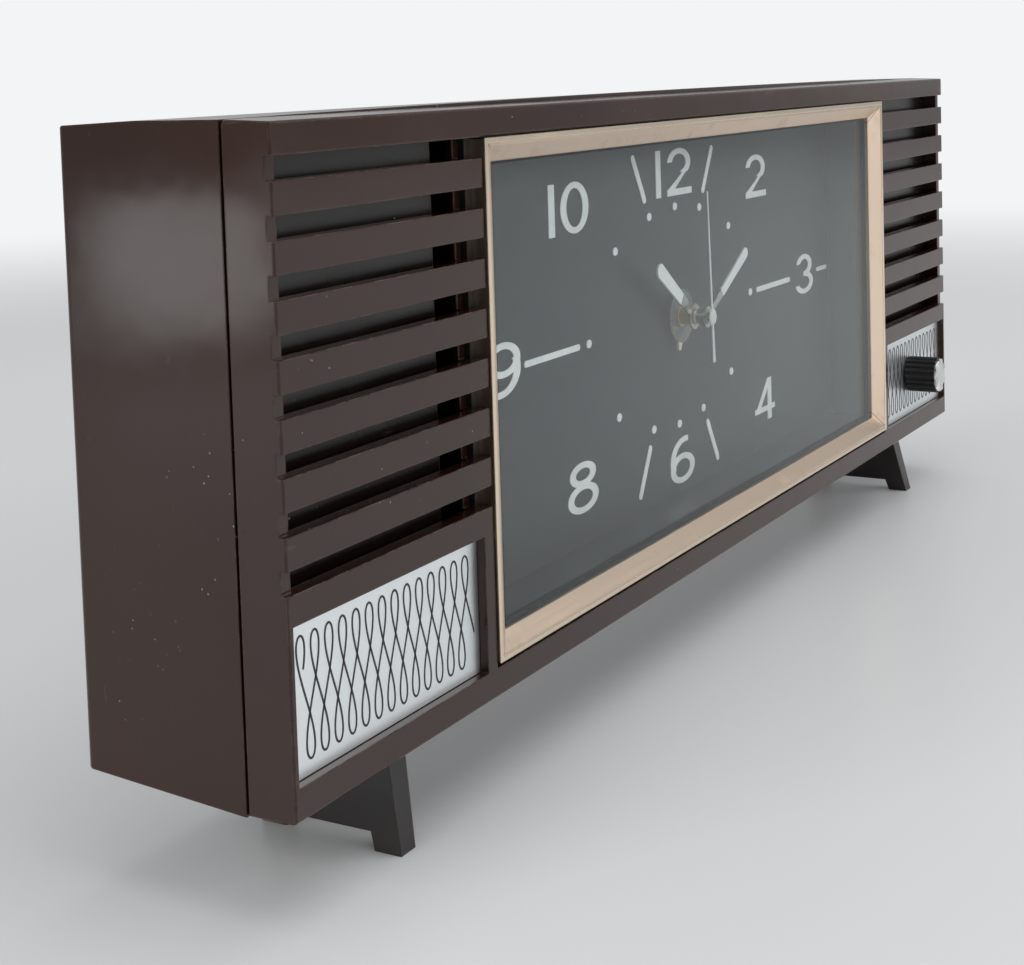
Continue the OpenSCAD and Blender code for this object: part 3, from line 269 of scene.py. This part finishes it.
finishes = {
    "brown_plastic": glossyPlastic("chocolatePlastic"),
    "cover_plastic": mattPlastic("backCoverPlastic", (0.022, 0.012, 0.009)),
    "bezel_metal": bezelMetal("champagneBezel"),
    "clear_glass": clearGlass("frontGlass"),
    "black_plastic": mattPlastic("blackPlastic", (0.006, 0.006, 0.007), 0.3, 0.01 * mm),
    "dial_paint": paint("dialBlack", (0.010, 0.0105, 0.012), 0.42, 0.04, 0),
    "white_paint": paint("whitePaint", (0.92, 0.92, 0.90), 0.4, 0.0),
    "panel_black": glossyPlastic("innerPanel", dict(plasticLook, brown=(0.006, 0.003, 0.002),
                                                    warm=(0.010, 0.005, 0.003)), 0.22, 1.6),
    "white_metal": plainMetal("silverTrim", (0.80, 0.83, 0.84), 0.34, (1, 1, 0.05), 0.85, 0.2),
    "leg_plastic": glossyPlastic("legPlastic", dict(plasticLook, brown=(0.010, 0.007, 0.006),
                                                    warm=(0.016, 0.010, 0.008)), 0.2, 1.2),
    "steel": plainMetal("plainSteel", (0.50, 0.50, 0.51), 0.28, (1, 0.1, 1)),
    "blue_steel": plainMetal("springSteel", (0.15, 0.16, 0.19), 0.25, (1, 1, 0.05)),
    "bell_metal": plainMetal("bellNickel", (0.62, 0.61, 0.58), 0.15),
    "brass": plainMetal("trainBrass", (0.62, 0.44, 0.17), 0.26, (0.1, 1, 1)),
    "plated_metal": plainMetal("platedMetal", (0.70, 0.69, 0.66), 0.14),
    "clear_disc": clearDisc("alarmDisc"),
}
minuteFinish = handPaint("minuteHandPaint", 8.5 * mm)
hourFinish = handPaint("hourHandPaint", 7.5 * mm)
secondsFinish = paint("secondsHandPaint", (0.80, 0.80, 0.78), 0.35, 0.0)

slotOf = {s["node"]: s["material_slot"] for s in frame["record"]["subparts"]}
special = {"minute_hand": minuteFinish, "hour_hand": hourFinish, "seconds_hand": secondsFinish}
for node, thing in frame["nodes"].items():
    thing.data.materials.clear()
    thing.data.materials.append(special.get(node) or finishes[slotOf[node]])
print("materials on", len(frame["nodes"]), "nodes")


# one new visible piece from points and faces, riding on a body
def meshPiece(name, points, faces, finish, body, smooth=True, merge=True):
    mesh = bpy.data.meshes.new(name)
    mesh.from_pydata(points.reshape(-1, 3).tolist(), [], [list(map(int, q)) for q in faces])
    mesh.update()
    if merge:
        b = bmesh.new()
        b.from_mesh(mesh)
        bmesh.ops.remove_doubles(b, verts=b.verts, dist=1e-6)
        bmesh.ops.recalc_face_normals(b, faces=b.faces)
        b.to_mesh(mesh)
        b.free()
    mesh.materials.append(finish)
    if smooth:
        mesh.polygons.foreach_set("use_smooth", np.ones(len(mesh.polygons), bool))
    thing = bpy.data.objects.new(name, mesh)
    bpy.context.scene.collection.objects.link(thing)
    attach(thing, body)
    return thing


def gridFaces(rows, columns, closeRows=False, closeColumns=False):
    # quads of a rows x columns grid of points, joined at the ends where asked
    i = np.arange(rows if closeRows else rows - 1)[:, None]
    j = np.arange(columns if closeColumns else columns - 1)[None, :]
    ni, nj = (i + 1) % rows, (j + 1) % columns
    quads = np.stack([i * columns + j, ni * columns + j, ni * columns + nj, i * columns + nj], -1)
    return quads.reshape(-1, 4)


def turned(name, profile, centre, count, finish, body, slot):
    # profile rows (radius, depth) turned about the Y axis through centre
    profile = np.array(profile, float)
    a = np.linspace(0, 2 * math.pi, count, endpoint=False)
    r = np.broadcast_to(profile[:, :1], (len(profile), count))
    y = np.broadcast_to(centre[1] + profile[:, 1:], r.shape)
    points = np.stack([centre[0] + r * np.cos(a), y, centre[2] + r * np.sin(a)], -1)
    faces = gridFaces(len(profile), count, closeColumns=True)
    return meshPiece(name, points, faces, finish, body)


plateLook = {
    "loops": 13.5, "loopTall": 0.40, "margin": 2.6 * mm, "swing": 0.40, "line": 0.36 * mm,
    "raise": 0.05 * mm, "sunk": 0.3 * mm, "steps": 1100, "start": -0.35 * math.pi,
}


def loopLine(name, node, inkFinish):
    # a line that runs up and down as it goes along: height A cos t, along p t / 2 pi + b sin 2t
    low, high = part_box(node)
    turns = plateLook["loops"]
    start = plateLook["start"]
    t = np.linspace(start, start + 2 * turns * math.pi, plateLook["steps"])
    wide = high.x - low.x - 2 * plateLook["margin"]
    pitch = wide / turns
    x = low.x + plateLook["margin"] + pitch * (t - t[0]) / (2 * math.pi)
    x = x - plateLook["swing"] * pitch * np.sin(2 * t)
    z = (low.z + high.z) / 2 + plateLook["loopTall"] * (high.z - low.z) * np.cos(t)
    way = np.stack([np.gradient(x), np.gradient(z)], -1)
    way /= np.linalg.norm(way, axis=1, keepdims=True)
    side = np.stack([-way[:, 1], way[:, 0]], -1) * plateLook["line"] / 2
    y = low.y - plateLook["raise"]
    deep = plateLook["sunk"]
    ring = [(1, deep), (0.9, 0.0), (-0.9, 0.0), (-1, deep)]     # share of the half width, depth
    rails = [np.stack([x + k * side[:, 0], np.full_like(x, y + d), z + k * side[:, 1]], -1)
             for k, d in ring]
    end = 4 * (len(t) - 1)
    faces = gridFaces(len(t), 4, closeColumns=True).tolist()
    faces += [[0, 1, 2, 3], [end + 3, end + 2, end + 1, end]]
    return meshPiece(name, np.stack(rails, 1), faces, inkFinish, "case", False,
                     False)


inkFinish = paint("plateInk", (0.012, 0.012, 0.012), 0.4, 0.0)
loopLine("loopLineLeft", "trim_plate_left", inkFinish)
loopLine("loopLineRight", "trim_plate_right", inkFinish)
print("trim patterns drawn")

lipLook = {"wide": 0.9 * mm, "stand": 0.125 * mm, "deep": 1.2 * mm, "outer": 0.02 * mm,
           "flatFrom": 0.15 * mm, "flatTo": 0.75 * mm}


def frameStrip(name, node, profile, finish):
    # profile rows (inward, depth) carried round the node's rectangle with mitred corners
    low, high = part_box(node)
    profile = np.array(profile, float)
    corners = np.array([[low.x, low.z], [high.x, low.z], [high.x, high.z], [low.x, high.z]])
    inward = np.array([[1, 1], [-1, 1], [-1, -1], [1, -1]])
    xz = corners[:, None, :] + inward[:, None, :] * profile[None, :, :1]
    y = np.broadcast_to(profile[None, :, 1], xz.shape[:2])
    points = np.stack([xz[..., 0], y, xz[..., 1]], -1)
    faces = gridFaces(4, len(profile), True, True)
    return meshPiece(name, points, faces, finish, "case", False)


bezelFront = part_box("bezel")[0].y
lipFront, lipBack = bezelFront - lipLook["stand"], bezelFront + lipLook["deep"]
lipProfile = [(lipLook["outer"], lipBack), (lipLook["outer"], lipFront + 0.15 * mm),
              (lipLook["flatFrom"], lipFront), (lipLook["flatTo"], lipFront),
              (lipLook["wide"], lipFront + 0.12 * mm), (lipLook["wide"], lipBack)]
brightEdge = plainMetal("bezelBrightEdge", (0.86, 0.72, 0.55), 0.12, (1, 1, 1), 0.7, 0.15)
frameStrip("bezelLip", "bezel", lipProfile, brightEdge)

capLow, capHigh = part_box("alarm_knob_cap")
capX, capZ = (capLow.x + capHigh.x) / 2, (capLow.z + capHigh.z) / 2
capLook = {"arms": 8, "rows": 10, "inset": 0.02 * mm, "fall": 0.55 * mm}
capR = (capHigh.x - capLow.x) / 2


def starFacets(name, finish):
    # eight low points round a raised middle: height falls with radius, less along the eight arms
    rows, count = capLook["rows"], capLook["arms"] * 8
    s = np.linspace(0, 1, rows)[:, None]
    a = np.linspace(0, 2 * math.pi, count, endpoint=False)[None, :]
    saw = np.abs(((a * capLook["arms"] / (2 * math.pi)) % 1) * 2 - 1)
    r = capR * s * np.ones_like(a)
    y = capLow.y + capLook["inset"] + capLook["fall"] * s ** 1.5 * (0.25 + 0.75 * saw)
    points = np.stack([capX + r * np.cos(a), y, capZ + r * np.sin(a)], -1)
    behind = np.full(count, capHigh.y)
    back = np.stack([capX + capR * np.cos(a[0]), behind, capZ + capR * np.sin(a[0])], -1)
    centreBack = np.stack([np.full(count, capX), behind, np.full(count, capZ)], -1)
    points = np.concatenate([points, back[None], centreBack[None]])
    faces = gridFaces(rows + 2, count, closeColumns=True)
    thing = meshPiece(name, points, faces, finish, "knob", False)
    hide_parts("alarm_knob_cap")
    return thing


starFacets("knobStarCap", plainMetal("starCapPlate", (0.78, 0.78, 0.77), 0.12, (1, 1, 1), 0.8, 0.1))
print("bezel lip and knob done")

hubLook = {"dome": 1.7 * mm, "tall": 0.9 * mm, "bore": 0.5 * mm}
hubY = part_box("seconds_hand")[0].y
hubBack = hubY + 0.15 * mm
domeRows = [(hubLook["dome"] * math.sin(k),
             hubY + 0.05 * mm - hubLook["tall"] * 0.55 * math.cos(k))
            for k in np.linspace(0, math.pi / 2, 9)]
domeRows += [(hubLook["dome"], hubBack), (hubLook["bore"], hubBack)]
turned("secondsHub", domeRows, (0, 0, axisZ), 40, secondsFinish, "seconds", "white_paint")

collarLook = {"radius": 1.3 * mm, "rib": 0.28 * mm, "groove": 0.05 * mm, "pitch": 0.3 * mm,
              "end": 0.2 * mm, "rows": 7}
collarY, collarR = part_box("minute_hand")[1].y, collarLook["radius"]
ribs = [(collarR + (collarLook["rib"] if k % 2 else collarLook["groove"]),
         collarY + collarLook["pitch"] * k) for k in range(1, collarLook["rows"] + 1)]
collarRows = [(collarR, ribs[0][1] - collarLook["end"])] + ribs
collarRows += [(collarR, ribs[-1][1] + collarLook["end"])]
turned("minuteCollar", collarRows, (0, 0, axisZ), 36, finishes["plated_metal"], "minute",
       "plated_metal")
print("hubs done")

roomLook = {"white": (0.97, 0.985, 1.0, 1), "seen": 0.92, "lit": 0.5, "fadeFrom": 0.42,
            "fadeTo": 1.1, "halfSide": 6.0}
floorFinish = Finish("paleFloor")
floorShade = floorFinish.mix(floorFinish.noise(3.0, 2.0), (0.66, 0.67, 0.68), (0.71, 0.72, 0.73))
floorGloss = floorFinish.add("ShaderNodeBsdfPrincipled", None, Base_Color=floorShade,
                             Roughness=0.38)
far = floorFinish.axes()
far = (far[0] * far[0] + far[1] * far[1]) ** 0.5
far = far.ramp(roomLook["fadeFrom"], roomLook["fadeTo"])        # fades into the backdrop
seenDirect = floorFinish.add("ShaderNodeLightPath")
white = floorFinish.add("ShaderNodeEmission", None, roomLook["white"], roomLook["seen"])
both = floorFinish.add("ShaderNodeMixShader", None, far * seenDirect, floorGloss, white)
floorFinish.tree.links.new(both.socket, floorFinish.output.inputs[0])
floorMesh = bpy.data.meshes.new("floor")
span = roomLook["halfSide"]
floorCorners = [(-span, -span, 0), (span, -span, 0), (span, span, 0), (-span, span, 0)]
floorMesh.from_pydata(floorCorners, [], [(0, 1, 2, 3)])
floorMesh.materials.append(floorFinish.material)
floor = bpy.data.objects.new("floor", floorMesh)
bpy.context.scene.collection.objects.link(floor)

world = bpy.data.worlds.new("room")
world.use_nodes = True
bpy.context.scene.world = world
tree = world.node_tree
tree.nodes.clear()
path = tree.nodes.new("ShaderNodeLightPath")
seen = tree.nodes.new("ShaderNodeMath")
seen.operation = "MAXIMUM"
tree.links.new(path.outputs["Is Camera Ray"], seen.inputs[0])
tree.links.new(path.outputs["Is Transmission Ray"], seen.inputs[1])
strength = tree.nodes.new("ShaderNodeMapRange")
tree.links.new(seen.outputs[0], strength.inputs[0])
strength.inputs[3].default_value = roomLook["lit"]
strength.inputs[4].default_value = roomLook["seen"]
back = tree.nodes.new("ShaderNodeBackground")
back.inputs[0].default_value = roomLook["white"]
tree.links.new(strength.outputs[0], back.inputs[1])
tree.links.new(back.outputs[0], tree.nodes.new("ShaderNodeOutputWorld").inputs[0])


def softLamp(name, place, aim, size, power, colour=(1, 1, 1)):
    data = bpy.data.lights.new(name, "AREA")
    data.shape, data.size, data.size_y = "RECTANGLE", size[0], size[1]
    data.energy, data.color = power, colour
    lamp = bpy.data.objects.new(name, data)
    bpy.context.scene.collection.objects.link(lamp)
    lamp.location = place
    lamp.rotation_euler = (Vector(aim) - Vector(place)).to_track_quat("-Z", "Y").to_euler()


softLamp("overhead", (0.1, -0.35, 1.4), (0, 0, 0), (1.6, 1.2), 8)
softLamp("leftWindow", (-1.3, 0.35, 0.62), (-0.15, 0, 0.08), (0.8, 0.6), 7, (1, 0.99, 0.97))
softLamp("frontFill", (0.6, -1.5, 0.7), (0, 0, 0.05), (1.6, 1.0), 12)
softLamp("sideGlow", (-0.50, 0.29, 0.042), (-0.15, 0, 0.07), (0.15, 0.05), 0.05)

# "from" is in mm from the bottom of the case's front face; the rest are directions and the lens
lens = {"from": (-326.615, -136.862, 96.234),
        "right": (0.49406776, -0.86890993, -0.02987614),
        "down": (-0.07718447, -0.00960827, -0.99697053),
        "ahead": (0.86599053, 0.49487697, -0.07181349),
        "focal": 62.43, "sensor": 36, "lift": -0.276, "near": 0.01}
cameraData = bpy.data.cameras.new("camera")
cameraData.lens, cameraData.sensor_width = lens["focal"], lens["sensor"]
cameraData.shift_y, cameraData.clip_start = lens["lift"], lens["near"]
camera = bpy.data.objects.new("camera", cameraData)
bpy.context.scene.collection.objects.link(camera)
right, up, behind = Vector(lens["right"]), -Vector(lens["down"]), -Vector(lens["ahead"])
turn = Matrix((right, up, behind)).transposed().to_4x4()
spot = Vector(lens["from"]) * mm + Vector((0, frontY, caseBottom))
camera.matrix_world = Matrix.Translation(spot) @ turn
bpy.context.scene.camera = camera
bpy.context.scene.view_settings.view_transform = "Standard"
